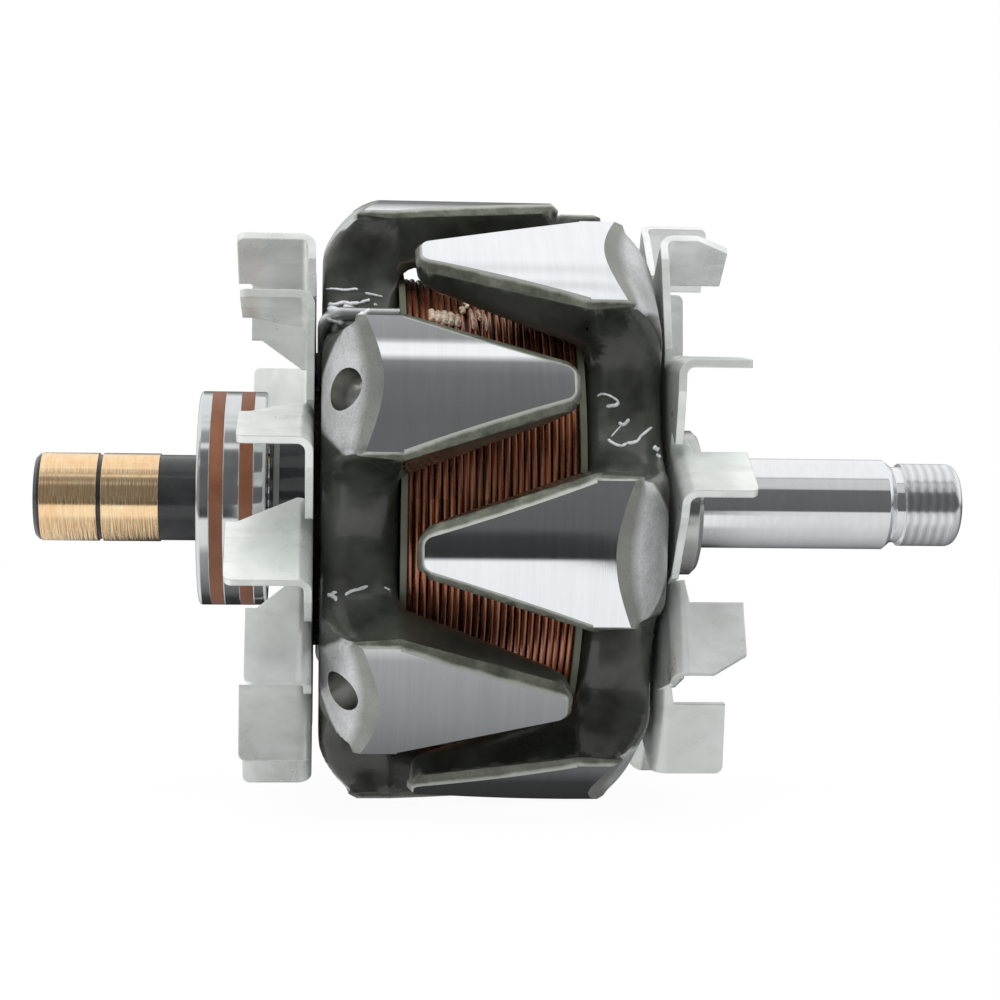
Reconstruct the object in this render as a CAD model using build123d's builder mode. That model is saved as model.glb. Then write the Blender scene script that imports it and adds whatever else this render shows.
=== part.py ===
from build123d import *
import os
from math import asin, cos, radians, sin, sqrt, tan

# Rotor of a claw-pole alternator, loose on the bench.
# The shaft lies along X with the pulley end at +X, and X = 0 is the middle of the claw band.
# Angles about the shaft run from +Y towards +Z. Millimetres and degrees.

# Claw band
claw_count = 6
claw_radius = 49.0
first_rear_claw = -20.55
claw_reach = 12.0
claw_tip_width = 6.8
claw_root_width = 23.8
claw_tip_round = 2.6
claw_draft = 3.0
claw_root_inside = 38.1
claw_tip_inside = 43.8
claw_bevel = 1.1
shoulder_start = 16.9
shoulder_foot_radius = 39.5
shoulder_bulge = 1.6
valley_radius = 35.5

# Pole cores
coil_window = 28.0
plate_thickness = 12.0
boss_radius = 25.0
fan_seat_radius = 24.0
fan_seat_height = 1.0
press_gap = 0.02

# Balance drillings in the rear shoulders
balance_angles = (first_rear_claw + 180, first_rear_claw + 240)
balance_drill_radius = 3.3
balance_drill_depth = 4.2
drill_point_angle = 118.0

# Field winding
bobbin_wall = 1.2
bobbin_flange = 1.0
bobbin_flange_radius = 37.4
bobbin_gap = 0.05
coil_radius = 36.6
wire_pitch = 1.03
wire_groove = 0.35

# Shaft, from the pulley end back to the slip rings
core_shaft_radius = 8.5
rear_seat_radius = 8.0
journal_radius = 7.5
spacer_length = 9.0
spacer_radius = 12.0
spacer_chamfer = 0.8
journal_length = 31.7
journal_chamfer = 1.4
undercut_radius = 6.35
undercut_length = 1.5
thread_radius = 6.9
thread_length = 9.7
thread_end_round = 1.9
spigot_radius = 4.5
centre_drill_radius = 1.6
centre_drill_depth = 4.0
centre_cone_radius = 2.6

# Rear ball bearing, 35 by 16 by 11
bearing_offset = 7.5
bearing_width = 11.0
bearing_radius = 17.5
bearing_corner = 0.6
inner_ring_radius = 10.35
outer_ring_inside = 14.8
ball_count = 8
ball_radius = 2.977
ball_pitch_radius = 12.575
groove_radius = 3.1
ball_play = 0.03
seal_thickness = 0.8
seal_inset = 0.3
seal_lip_gap = 0.1
seal_groove_depth = 0.4
band_width = 2.1
band_depth = 1.1
band_spacing = 4.7
cage_inside = 12.1
cage_outside = 13.1
cage_width = 6.9
pocket_gap = 0.1

# Slip rings and their moulding
slip_ring_radius = 7.2
slip_ring_wall = 1.0
inner_slip_ring_length = 9.2
outer_slip_ring_length = 9.1
slip_ring_spacing = 0.7
moulding_gap = 0.5
moulding_neck_length = 6.0
moulding_neck_radius = 7.0
moulding_web_radius = 6.9
moulding_rim = 1.0
moulding_rim_chamfer = 0.6

# Connections from the coil to the slip rings
lead_angle = first_rear_claw + 150
lead_radius = 1.1
lead_fan_gap = 0.35
lead_valley_gap = 0.3
lead_bend = 2.6
lead_groove_width = 2.9
lead_run_out = 1.5
bar_outside = 5.8
bar_thickness = 0.8
bar_width = 2.4
bar_pad_length = 3.0
bar_end_gap = 2.0
slot_width = 2.8
slot_floor = 4.8
insulator_radius = 12.5
insulator_running_gap = 0.4
insulator_band_width = 1.0
insulator_band_offset = 0.6
insulator_band_depth = 0.5
insulator_band_proud = 0.4

# Fans: stamped sheet, blades bent up along slanting lines
sheet = 1.2
bend_radius = 1.2
fan_radius = 46.5
fan_tooth_depth = 13.5
fan_hole_clearance = 0.6
fan_height = 11.2
blade_corner = 1.2
tooth_tip_width = 2.4
tooth_back_angle = 42.0
tooth_back_length = 28.0
slit_width = 1.5
rear_blade_slant = 31.0
rear_blade_length = 11.7
rear_blade_foot = 16.8
rear_blade_knee = 1.7
rear_tall_blade = 118
rear_tall_height = 12.2
rear_tallest_blade = 195
rear_tallest_height = 12.9
rear_low_blade = 216
rear_low_height = 10.0
rear_blade_angles = (
    30,
    58,
    rear_tall_blade,
    138,
    169,
    rear_tallest_blade,
    rear_low_blade,
    241,
    268,
    298,
    329,
    359,
)
front_blade_slant = 33.0
front_blade_length = 11.4
front_blade_foot = 15.0
front_blade_knee = 8.2
front_clipped_blades = (115, 213.5)
front_blade_angles = (20, 53, 86, 115, 153, 178, 213.5, 248, 281, 314, 347)
clip_length = 5.0
clip_drop = 3.0

# Places along the shaft that several pieces share
plate_x = coil_window / 2
pole_face_x = plate_x + plate_thickness
fan_x = pole_face_x + fan_seat_height
journal_x = fan_x + spacer_length
journal_end_x = journal_x + journal_length
undercut_x = journal_end_x + journal_chamfer
thread_x = undercut_x + undercut_length
shaft_end_x = thread_x + thread_length
bearing_x = -fan_x - bearing_offset - bearing_width / 2
bearing_inboard_x = bearing_x + bearing_width / 2
bearing_outboard_x = bearing_x - bearing_width / 2
moulding_x = bearing_outboard_x - moulding_gap
inner_slip_ring_x = moulding_x - moulding_neck_length
web_x = inner_slip_ring_x - inner_slip_ring_length
outer_slip_ring_x = web_x - slip_ring_spacing
rim_x = outer_slip_ring_x - outer_slip_ring_length
moulding_end_x = rim_x - moulding_rim
slip_ring_bore = slip_ring_radius - slip_ring_wall
lead_x = -fan_x + lead_fan_gap + lead_radius
lead_floor_x = lead_x + lead_radius + press_gap
lead_angles = (lead_angle, lead_angle + 180)
insulator_x = bearing_inboard_x + insulator_running_gap
coil_x = plate_x - bobbin_gap - bobbin_flange
claw_step = 360 / claw_count
cut_past = 1.0

parts_folder = "parts"
os.makedirs(parts_folder, exist_ok=True)


def save(part, name):
    """Label a finished piece and write it under its own name."""
    part.label = name
    export_step(part, os.path.join(parts_folder, name + ".step"))


def half_section(*outline):
    """Face between (x, radius) points, ready to be turned about the shaft axis."""
    with BuildSketch(Plane.XY) as section:
        with BuildLine():
            Polyline(*outline, close=True)
        make_face()
    return section.sketch


def ring_section(x_low, x_high, inside, outside):
    """Half section of a plain ring."""
    return half_section((x_low, inside), (x_high, inside), (x_high, outside), (x_low, outside))


def side_plane(angle):
    """Plane through the shaft axis whose second axis points out at the angle."""
    return Plane.XY.rotated((angle, 0, 0))


def outward_plane(angle, radius):
    """Plane square to the radius at the angle, facing outwards, with X along the shaft."""
    out = Vector(0, cos(radians(angle)), sin(radians(angle)))
    return Plane(origin=out * radius, x_dir=(1, 0, 0), z_dir=out)


# Pole cores. Both are one forging: a half boss, a plate with round valleys, and six claws.
# The plain core has its plate at -X and its first claw towards +Y.
claw_half_width = claw_root_width / 2
tip_half_width = claw_tip_width / 2
valley_edge = radians(claw_step / 2) - asin(claw_half_width / claw_radius)
valley_centre = (claw_radius**2 - valley_radius**2) / (2 * (claw_radius * cos(valley_edge) - valley_radius))
valley_scoop = valley_centre - valley_radius
claw_inside_slope = (claw_tip_inside - claw_root_inside) / (plate_x + claw_reach)
shoulder_run = Vector(pole_face_x - shoulder_start, claw_radius - shoulder_foot_radius)
shoulder_out = Vector(-shoulder_run.Y, shoulder_run.X).normalized()
shoulder_foot = Vector(-pole_face_x, shoulder_foot_radius)
shoulder_middle = shoulder_foot + shoulder_run / 2 + shoulder_out * shoulder_bulge


def claw_outline(root_half, tip_half, reach, tip_round):
    """Plan of one claw seen along its radius, from inside the plate to the rounded tip."""
    with BuildSketch() as outline:
        with BuildLine():
            Polyline(
                (-plate_x - cut_past, -root_half),
                (-plate_x, -root_half),
                (reach, -tip_half),
                (reach, tip_half),
                (-plate_x, root_half),
                (-plate_x - cut_past, root_half),
                close=True,
            )
        make_face()
        fillet(outline.vertices().group_by(Axis.X)[-1], tip_round)
    return outline.sketch


def drop_at(half_width):
    """How far the claw cylinder has fallen away at a half width from the middle of a claw."""
    return claw_radius - sqrt(claw_radius**2 - half_width**2)


bevel_root = claw_half_width - drop_at(claw_half_width) - claw_bevel
bevel_tip = tip_half_width - drop_at(tip_half_width) - claw_bevel

with BuildPart() as claw:
    with BuildSketch(outward_plane(0, claw_radius)):
        add(claw_outline(claw_half_width, tip_half_width, claw_reach, claw_tip_round))
    extrude(amount=valley_radius - claw_radius, taper=claw_draft)
    with BuildSketch(outward_plane(0, claw_radius)):
        add(claw_outline(bevel_root, bevel_tip, claw_reach - claw_bevel, claw_tip_round - claw_bevel))
    extrude(amount=valley_radius - claw_radius, taper=-45, mode=Mode.INTERSECT)
    with BuildSketch(Plane.XY):
        with BuildLine():
            Polyline(
                (-plate_x - cut_past, claw_root_inside - cut_past * claw_inside_slope),
                (claw_reach, claw_tip_inside),
                (claw_reach, claw_radius),
                (-plate_x - cut_past, claw_radius),
                close=True,
            )
        make_face()
    extrude(amount=claw_root_width, both=True, mode=Mode.INTERSECT)
    Cylinder(claw_radius, 2 * pole_face_x, rotation=(0, 90, 0), mode=Mode.INTERSECT)

with BuildPart() as plain_core:
    with BuildSketch(Plane.YZ.offset(-pole_face_x)):
        Circle(claw_radius)
        with PolarLocations(valley_centre, claw_count, start_angle=claw_step / 2):
            Circle(valley_scoop, mode=Mode.SUBTRACT)
    extrude(amount=plate_thickness)
    chamfer(plain_core.edges().filter_by(Axis.X), claw_bevel)
    for index in range(claw_count):
        add(claw.part, rotation=(index * claw_step, 0, 0))
    with BuildSketch(*[side_plane(index * claw_step) for index in range(claw_count)]):
        with BuildLine():
            ThreePointArc(shoulder_foot, shoulder_middle, shoulder_foot + shoulder_run)
            Polyline(
                shoulder_foot + shoulder_run,
                (-shoulder_start, claw_radius + cut_past),
                (-pole_face_x - cut_past, claw_radius + cut_past),
                (-pole_face_x - cut_past, shoulder_foot_radius),
                shoulder_foot,
            )
        make_face()
    extrude(amount=claw_root_width, both=True, mode=Mode.SUBTRACT)
    revolve(ring_section(-plate_x, 0, core_shaft_radius, boss_radius), axis=Axis.X)
    revolve(ring_section(-fan_x, -pole_face_x, core_shaft_radius, fan_seat_radius), axis=Axis.X)
    revolve(ring_section(-fan_x, 0, 0, core_shaft_radius + press_gap), axis=Axis.X, mode=Mode.SUBTRACT)

shoulder_tilt = shoulder_out.get_angle(Vector(0, 1))
drill_point = balance_drill_radius / tan(radians(drill_point_angle / 2))

with BuildPart() as rear_pole_core:
    add(plain_core.part, rotation=(first_rear_claw, 0, 0))
    for angle in balance_angles:
        shoulder = outward_plane(angle, shoulder_middle.Y)
        shoulder.origin = shoulder.origin + Vector(shoulder_middle.X, 0, 0)
        with Locations(shoulder * Rotation(0, -shoulder_tilt, 0)):
            Cylinder(balance_drill_radius, 2 * balance_drill_depth, mode=Mode.SUBTRACT)
            with Locations((0, 0, -balance_drill_depth - drill_point / 2)):
                Cone(0, balance_drill_radius, drill_point, mode=Mode.SUBTRACT)
    with BuildSketch(*[side_plane(angle) for angle in lead_angles]):
        with BuildLine():
            Polyline(
                (-fan_x, 0),
                (lead_floor_x, 0),
                (lead_floor_x, valley_radius - lead_run_out),
                (lead_floor_x + lead_run_out, valley_radius),
                (lead_floor_x + lead_run_out, claw_radius),
                (-fan_x, claw_radius),
                close=True,
            )
        make_face()
    extrude(amount=lead_groove_width / 2, both=True, mode=Mode.SUBTRACT)
    revolve(
        ring_section(-fan_x, lead_floor_x, 0, insulator_radius + press_gap),
        axis=Axis.X,
        mode=Mode.SUBTRACT,
    )
save(rear_pole_core.part, "rear_pole_core")

with BuildPart() as front_pole_core:
    add(plain_core.part, rotation=(first_rear_claw + claw_step / 2, 0, 0))
    mirror(about=Plane.YZ, mode=Mode.REPLACE)
save(front_pole_core.part, "front_pole_core")

# Bobbin and winding, held between the two plates.
bobbin_bore = boss_radius + bobbin_gap
winding_bore = bobbin_bore + bobbin_wall

with BuildPart() as bobbin:
    revolve(
        half_section(
            (-plate_x + bobbin_gap, bobbin_bore),
            (plate_x - bobbin_gap, bobbin_bore),
            (plate_x - bobbin_gap, bobbin_flange_radius),
            (coil_x, bobbin_flange_radius),
            (coil_x, winding_bore),
            (-coil_x, winding_bore),
            (-coil_x, bobbin_flange_radius),
            (-plate_x + bobbin_gap, bobbin_flange_radius),
        ),
        axis=Axis.X,
    )
save(bobbin.part, "bobbin")

turn_count = round(2 * coil_x / wire_pitch)
turn_width = 2 * coil_x / turn_count
turn_tops = [(-coil_x + turn_width * (index + 0.5), coil_radius) for index in range(turn_count)]
turn_roots = [(-coil_x + turn_width * index, coil_radius - wire_groove) for index in range(turn_count + 1)]
coil_surface = [point for pair in zip(turn_roots, turn_tops) for point in pair] + turn_roots[-1:]

with BuildPart() as field_coil:
    revolve(
        half_section((-coil_x, winding_bore + press_gap), *coil_surface, (coil_x, winding_bore + press_gap)),
        axis=Axis.X,
    )
save(field_coil.part, "field_coil")

# Shaft with its seats, undercut, pulley thread and the two slots for the slip ring bars.
with BuildPart() as shaft:
    revolve(
        half_section(
            (rim_x, 0),
            (rim_x, spigot_radius),
            (moulding_x, spigot_radius),
            (moulding_x, rear_seat_radius),
            (bearing_inboard_x, rear_seat_radius),
            (bearing_inboard_x, core_shaft_radius),
            (journal_x, core_shaft_radius),
            (journal_x, journal_radius),
            (journal_end_x, journal_radius),
            (undercut_x, undercut_radius),
            (thread_x, undercut_radius),
            (thread_x, thread_radius),
            (shaft_end_x, thread_radius),
            (shaft_end_x, 0),
        ),
        axis=Axis.X,
    )
    fillet(shaft.edges().filter_by(GeomType.CIRCLE).group_by(Axis.X)[-1], thread_end_round)
    for end_x, inward in ((shaft_end_x, -1), (rim_x, 1)):
        revolve(
            half_section(
                (end_x, 0),
                (end_x, centre_cone_radius),
                (end_x + inward * (centre_cone_radius - centre_drill_radius), centre_drill_radius),
                (end_x + inward * centre_drill_depth, centre_drill_radius),
                (end_x + inward * centre_drill_depth, 0),
            ),
            axis=Axis.X,
            mode=Mode.SUBTRACT,
        )
    for angle in lead_angles:
        with BuildSketch(outward_plane(angle, slot_floor)):
            with Locations(((moulding_x + lead_floor_x) / 2, 0)):
                Rectangle(lead_floor_x - moulding_x, slot_width)
        extrude(amount=core_shaft_radius, mode=Mode.SUBTRACT)
save(shaft.part, "shaft")

with BuildPart() as spacer_collar:
    revolve(ring_section(fan_x, journal_x, core_shaft_radius + press_gap, spacer_radius), axis=Axis.X)
    pulley_side = spacer_collar.edges().filter_by(GeomType.CIRCLE).group_by(Axis.X)[-1]
    chamfer(pulley_side.sort_by(SortBy.RADIUS)[-1], spacer_chamfer)
save(spacer_collar.part, "spacer_collar")

# Rear bearing: rings, balls and cage, two seals, and two soft bands set in the outer ring.
inner_groove_centre = ball_pitch_radius - ball_radius - ball_play + groove_radius
outer_groove_centre = ball_pitch_radius + ball_radius + ball_play - groove_radius
seal_offset = bearing_width / 2 - seal_inset - seal_thickness / 2
seal_rim = outer_ring_inside + seal_groove_depth

with BuildPart() as bearing_inner_ring:
    with BuildSketch(Plane.XY) as inner_section:
        add(
            ring_section(
                bearing_outboard_x, bearing_inboard_x, rear_seat_radius + press_gap, inner_ring_radius
            )
        )
        with Locations((bearing_x, inner_groove_centre)):
            Circle(groove_radius, mode=Mode.SUBTRACT)
        fillet(inner_section.vertices().group_by(Axis.Y)[0], bearing_corner)
    revolve(axis=Axis.X)
save(bearing_inner_ring.part, "bearing_inner_ring")

with BuildPart() as bearing_outer_ring:
    with BuildSketch(Plane.XY) as outer_section:
        add(ring_section(bearing_outboard_x, bearing_inboard_x, outer_ring_inside, bearing_radius))
        fillet(outer_section.vertices().group_by(Axis.Y)[-1], bearing_corner)
        with Locations((bearing_x, outer_groove_centre)):
            Circle(groove_radius, mode=Mode.SUBTRACT)
        for face in (-1, 1):
            with Locations((bearing_x + face * band_spacing / 2, bearing_radius)):
                Rectangle(band_width, 2 * band_depth, mode=Mode.SUBTRACT)
            with Locations((bearing_x + face * seal_offset, outer_ring_inside)):
                Rectangle(seal_thickness + 2 * press_gap, 2 * seal_groove_depth, mode=Mode.SUBTRACT)
    revolve(axis=Axis.X)
save(bearing_outer_ring.part, "bearing_outer_ring")

for name, face in (("outboard", -1), ("inboard", 1)):
    band_x = bearing_x + face * band_spacing / 2
    with BuildPart() as band:
        revolve(
            ring_section(
                band_x - band_width / 2 + press_gap,
                band_x + band_width / 2 - press_gap,
                bearing_radius - band_depth + press_gap,
                bearing_radius,
            ),
            axis=Axis.X,
        )
    save(band.part, "bearing_band_" + name)
    seal_x = bearing_x + face * seal_offset
    with BuildPart() as seal:
        revolve(
            ring_section(
                seal_x - seal_thickness / 2,
                seal_x + seal_thickness / 2,
                inner_ring_radius + seal_lip_gap,
                seal_rim - press_gap,
            ),
            axis=Axis.X,
        )
    save(seal.part, "bearing_seal_" + name)

with BuildPart(Plane.YZ.offset(bearing_x)) as bearing_balls:
    with PolarLocations(ball_pitch_radius, ball_count):
        Sphere(ball_radius)
save(bearing_balls.part, "bearing_balls")

with BuildPart() as bearing_cage:
    revolve(
        ring_section(bearing_x - cage_width / 2, bearing_x + cage_width / 2, cage_inside, cage_outside),
        axis=Axis.X,
    )
    with BuildSketch(*[outward_plane(index * 360 / ball_count, cage_inside) for index in range(ball_count)]):
        with Locations((bearing_x, 0)):
            Circle(ball_radius + pocket_gap)
    extrude(amount=cage_outside - cage_inside, both=True, mode=Mode.SUBTRACT)
save(bearing_cage.part, "bearing_cage")

# Slip rings on their moulding, and the bars that run under the bearing to them.
ring_seat = slip_ring_bore - press_gap
pad_top = sqrt(slip_ring_bore**2 - (bar_width / 2) ** 2) - press_gap


def bar_section(ring_x, gap):
    """Side view of a slip ring bar with its pad under the ring, widened by a gap for its pocket."""
    low = bar_outside - bar_thickness - gap
    high = bar_outside + gap
    pad_start = ring_x + bar_end_gap - gap
    pad_end = pad_start + bar_pad_length + 2 * gap
    return half_section(
        (pad_start, low),
        (pad_start, pad_top + gap),
        (pad_end, pad_top + gap),
        (pad_end, high),
        (lead_floor_x, high),
        (lead_floor_x, low),
    )


def slip_ring_bar(angle, ring_x, gap):
    """Flat bar from the coil lead to its slip ring, widened by a gap for its pocket."""
    with BuildPart() as bar:
        add(bar_section(ring_x, gap))
        extrude(amount=bar_width / 2 + gap, both=True)
    return bar.part.rotate(Axis.X, angle)


bars = (("outer", lead_angles[0], rim_x), ("inner", lead_angles[1], web_x))

with BuildPart() as slip_ring_moulding:
    revolve(
        half_section(
            (moulding_x, spigot_radius + press_gap),
            (moulding_x, moulding_neck_radius),
            (inner_slip_ring_x, moulding_neck_radius),
            (inner_slip_ring_x, ring_seat),
            (web_x, ring_seat),
            (web_x, moulding_web_radius),
            (outer_slip_ring_x, moulding_web_radius),
            (outer_slip_ring_x, ring_seat),
            (rim_x, ring_seat),
            (rim_x, moulding_neck_radius),
            (moulding_end_x, moulding_neck_radius),
            (moulding_end_x, spigot_radius + press_gap),
        ),
        axis=Axis.X,
    )
    rim_edges = slip_ring_moulding.edges().filter_by(GeomType.CIRCLE).group_by(Axis.X)[0]
    chamfer(rim_edges.sort_by(SortBy.RADIUS)[-1], moulding_rim_chamfer)
    for name, angle, ring_x in bars:
        add(slip_ring_bar(angle, ring_x, press_gap), mode=Mode.SUBTRACT)
save(slip_ring_moulding.part, "slip_ring_moulding")

for name, angle, ring_x in bars:
    save(slip_ring_bar(angle, ring_x, 0), "slip_ring_bar_" + name)

with BuildPart() as inner_slip_ring:
    ring = ring_section(web_x + press_gap, inner_slip_ring_x - press_gap, slip_ring_bore, slip_ring_radius)
    revolve(ring, axis=Axis.X)
save(inner_slip_ring.part, "inner_slip_ring")

with BuildPart() as outer_slip_ring:
    ring = ring_section(rim_x + press_gap, outer_slip_ring_x - press_gap, slip_ring_bore, slip_ring_radius)
    revolve(ring, axis=Axis.X)
save(outer_slip_ring.part, "outer_slip_ring")

# Round leads from the coil, out through the valleys and in under the fan to the bars.
lead_run_radius = valley_radius + lead_valley_gap + lead_radius

for name, angle, ring_x in bars:
    with BuildPart() as coil_lead:
        with BuildLine(side_plane(angle)):
            FilletPolyline(
                (-plate_x, lead_run_radius),
                (lead_x, lead_run_radius),
                (lead_x, bar_outside + press_gap),
                radius=lead_bend,
            )
        with BuildSketch(Plane.YZ.offset(-plate_x)):
            with PolarLocations(lead_run_radius, 1, start_angle=angle):
                Circle(lead_radius)
        sweep()
    save(coil_lead.part, "coil_lead_" + name)

# Black moulding that carries the leads past the shaft, with a soft band round its outer end.
band_low_x = insulator_x + insulator_band_offset
band_high_x = band_low_x + insulator_band_width
band_seat_radius = insulator_radius - insulator_band_depth
lead_slot_x = lead_x - lead_radius - press_gap

with BuildPart() as lead_insulator:
    revolve(
        half_section(
            (insulator_x, core_shaft_radius + press_gap),
            (insulator_x, insulator_radius),
            (band_low_x, insulator_radius),
            (band_low_x, band_seat_radius),
            (band_high_x, band_seat_radius),
            (band_high_x, insulator_radius),
            (lead_floor_x - press_gap, insulator_radius),
            (lead_floor_x - press_gap, core_shaft_radius + press_gap),
        ),
        axis=Axis.X,
    )
    with BuildSketch(*[side_plane(angle) for angle in lead_angles]):
        add(ring_section(lead_slot_x, lead_floor_x, 0, insulator_radius + cut_past))
    extrude(amount=lead_radius + press_gap, both=True, mode=Mode.SUBTRACT)
save(lead_insulator.part, "lead_insulator")

with BuildPart() as insulator_band:
    revolve(
        ring_section(
            band_low_x + press_gap,
            band_high_x - press_gap,
            band_seat_radius + press_gap,
            insulator_radius + insulator_band_proud,
        ),
        axis=Axis.X,
    )
save(insulator_band.part, "insulator_band")

# Fans. The disc is a ring with one saw tooth behind each blade, slit along the bends.
# Side is -1 for the rear fan and 1 for the front one; heights start at the pole side of the disc.
bend_outside = bend_radius + sheet


def fan_disc(side, hole_radius, slant, foot, blade_angles):
    """Flat outline of a fan before its blades are added."""
    back_angle = radians(tooth_back_angle + slant)
    tip_depth = -bend_outside - tooth_tip_width
    back_end = (tooth_back_length * cos(back_angle), tip_depth - tooth_back_length * sin(back_angle))
    tooth = ((0, -bend_outside), (foot, -bend_outside), back_end, (0, tip_depth))
    slit = (
        (-cut_past, -bend_outside),
        (foot, -bend_outside),
        (foot, slit_width),
        (-cut_past, slit_width),
    )
    with BuildSketch(Plane.YZ.offset(side * fan_x)) as disc:
        Circle(fan_radius - fan_tooth_depth)
        for outline, mode in ((tooth, Mode.ADD), (slit, Mode.SUBTRACT)):
            for angle in blade_angles:
                with PolarLocations(fan_radius, 1, start_angle=angle):
                    Polygon(*outline, rotation=180 + slant, align=None, mode=mode)
        Circle(hole_radius, mode=Mode.SUBTRACT)
    return disc.sketch


def blade_profile(length, foot, knee, height, clipped):
    """Side view of a blade from its outer end inwards, its outer free corner rounded or clipped."""
    with BuildSketch() as profile:
        with BuildLine():
            Polyline(
                (0, 0),
                (0, height),
                (length, height),
                (length, height - knee),
                (foot, bend_outside),
                (foot, 0),
                close=True,
            )
        make_face()
        outer_corner = profile.vertices().group_by(Axis.Y)[-1].sort_by(Axis.X)[0]
        if clipped:
            chamfer(outer_corner, clip_length, clip_drop)
        else:
            fillet(outer_corner, blade_corner)
    return profile.sketch


def fan_blade(side, slant, profile):
    """Blade bent up from the disc at +Y."""
    along = Vector(0, -cos(radians(slant)), -sin(radians(slant)))
    across = Vector(0, sin(radians(slant)), -cos(radians(slant)))
    corner = (side * fan_x, fan_radius, 0)
    foot, height = profile.bounding_box().max.X, profile.bounding_box().max.Y
    with BuildPart() as blade:
        with BuildSketch(Plane(origin=corner, x_dir=across, z_dir=along * side)):
            with BuildLine():
                CenterArc((-bend_outside, bend_outside), bend_outside, -90, 90)
                Polyline((0, bend_outside), (0, height), (-sheet, height), (-sheet, bend_outside))
                CenterArc((-bend_outside, bend_outside), bend_radius, 0, -90)
                Line((-bend_outside, sheet), (-bend_outside, 0))
            make_face()
        extrude(amount=side * foot)
        with BuildSketch(Plane(origin=corner, x_dir=along, z_dir=across * -side)):
            add(profile)
        extrude(amount=bend_outside, both=True, mode=Mode.INTERSECT)
    return blade.part


rear_odd_heights = {
    rear_tall_blade: rear_tall_height,
    rear_tallest_blade: rear_tallest_height,
    rear_low_blade: rear_low_height,
}

with BuildPart() as rear_fan:
    add(
        fan_disc(
            -1, insulator_radius + fan_hole_clearance, rear_blade_slant, rear_blade_foot, rear_blade_angles
        )
    )
    extrude(amount=sheet, dir=(-1, 0, 0))
    for angle in rear_blade_angles:
        height = rear_odd_heights.get(angle, fan_height)
        profile = blade_profile(rear_blade_length, rear_blade_foot, rear_blade_knee, height, False)
        add(fan_blade(-1, rear_blade_slant, profile), rotation=(angle, 0, 0))
save(rear_fan.part, "rear_fan")

with BuildPart() as front_fan:
    add(
        fan_disc(
            1, spacer_radius + fan_hole_clearance, front_blade_slant, front_blade_foot, front_blade_angles
        )
    )
    extrude(amount=sheet, dir=(1, 0, 0))
    for angle in front_blade_angles:
        clipped = angle in front_clipped_blades
        profile = blade_profile(front_blade_length, front_blade_foot, front_blade_knee, fan_height, clipped)
        add(fan_blade(1, front_blade_slant, profile), rotation=(angle, 0, 0))
save(front_fan.part, "front_fan")
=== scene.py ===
"""Alternator rotor: looks of every surface, camera and light around the fixed CAD frame. Metres."""

import random
from math import atan2, cos, hypot, pi, radians, sin, sqrt

import bmesh
import bpy
import numpy
from mathutils import Matrix, Vector
from mathutils.bvhtree import BVHTree


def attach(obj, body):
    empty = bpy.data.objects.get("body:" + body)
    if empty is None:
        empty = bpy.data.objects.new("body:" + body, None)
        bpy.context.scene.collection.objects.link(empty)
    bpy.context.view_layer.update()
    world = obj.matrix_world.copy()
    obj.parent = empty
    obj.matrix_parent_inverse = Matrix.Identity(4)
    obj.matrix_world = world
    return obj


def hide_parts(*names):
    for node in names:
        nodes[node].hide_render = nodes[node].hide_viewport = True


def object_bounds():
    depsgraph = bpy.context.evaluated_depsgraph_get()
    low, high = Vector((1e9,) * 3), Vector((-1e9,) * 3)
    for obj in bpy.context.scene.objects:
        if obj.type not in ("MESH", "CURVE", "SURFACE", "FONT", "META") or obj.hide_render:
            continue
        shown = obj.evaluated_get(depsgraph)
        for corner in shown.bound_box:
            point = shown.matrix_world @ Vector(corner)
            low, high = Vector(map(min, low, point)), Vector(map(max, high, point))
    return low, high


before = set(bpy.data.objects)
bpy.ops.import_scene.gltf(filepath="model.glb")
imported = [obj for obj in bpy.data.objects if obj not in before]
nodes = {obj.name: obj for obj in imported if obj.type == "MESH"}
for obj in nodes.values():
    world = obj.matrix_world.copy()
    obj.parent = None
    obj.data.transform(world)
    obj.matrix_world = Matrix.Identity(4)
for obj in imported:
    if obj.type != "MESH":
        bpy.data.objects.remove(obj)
cad_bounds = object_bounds()
MM = 0.001

# Claw band and pole cores, as the CAD nodes have them. Rear is -1 along X and front is 1.
CLAW_STEP = radians(60)
FIRST_CLAW = {-1: radians(-20.55), 1: radians(9.45)}
CLAW_RADIUS = 49.0 * MM
POLE_FACE = 26.0 * MM
SHOULDER_START = 16.9 * MM
SHOULDER_FOOT = 39.5 * MM
FAN_SEAT_RADIUS = 24.0 * MM
DRILL_ANGLES = (radians(159.45), radians(219.45))
DRILL_RADIUS = 3.3 * MM
DRILL_DEPTH = 5.0 * MM

# Bare ground of a claw's shoulder: how far along X it ends in its middle, and how much sooner at its sides
GROUND_END = 26.4 * MM
GROUND_BOW = 5.5 * MM
CLAW_HALF_WIDTH = 11.9 * MM

# Forging: longest edge left in the mesh, points this close are welded, then every pass rounds this far
LONGEST_EDGE = 1.8 * MM
SPLITTING_ROUNDS = 6
CLOSEST_POINTS = 0.08 * MM
ROUNDING_STEP = 0.5 * MM
ROUNDING_PASSES = 36

# How sharply a forged edge bulges where a lighter edge highlight is painted on it and its varnish is rubbed
# thin, and the passes that even this out
EDGE_HIGHLIGHT_BULGE = 0.18
EDGE_HIGHLIGHT_PASSES = 12

# Winding
COIL_HALF_LENGTH = 12.95 * MM
COIL_RADIUS = 36.6 * MM
COIL_BORE = 26.27 * MM
COIL_TURNS = 25
WIRE_RADIUS = 0.5 * MM

# Shaft end
THREAD_START = 70.6 * MM
THREAD_END = 80.3 * MM
THREAD_PITCH = 1.5 * MM
THREAD_DEPTH = 0.12 * MM

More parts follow.
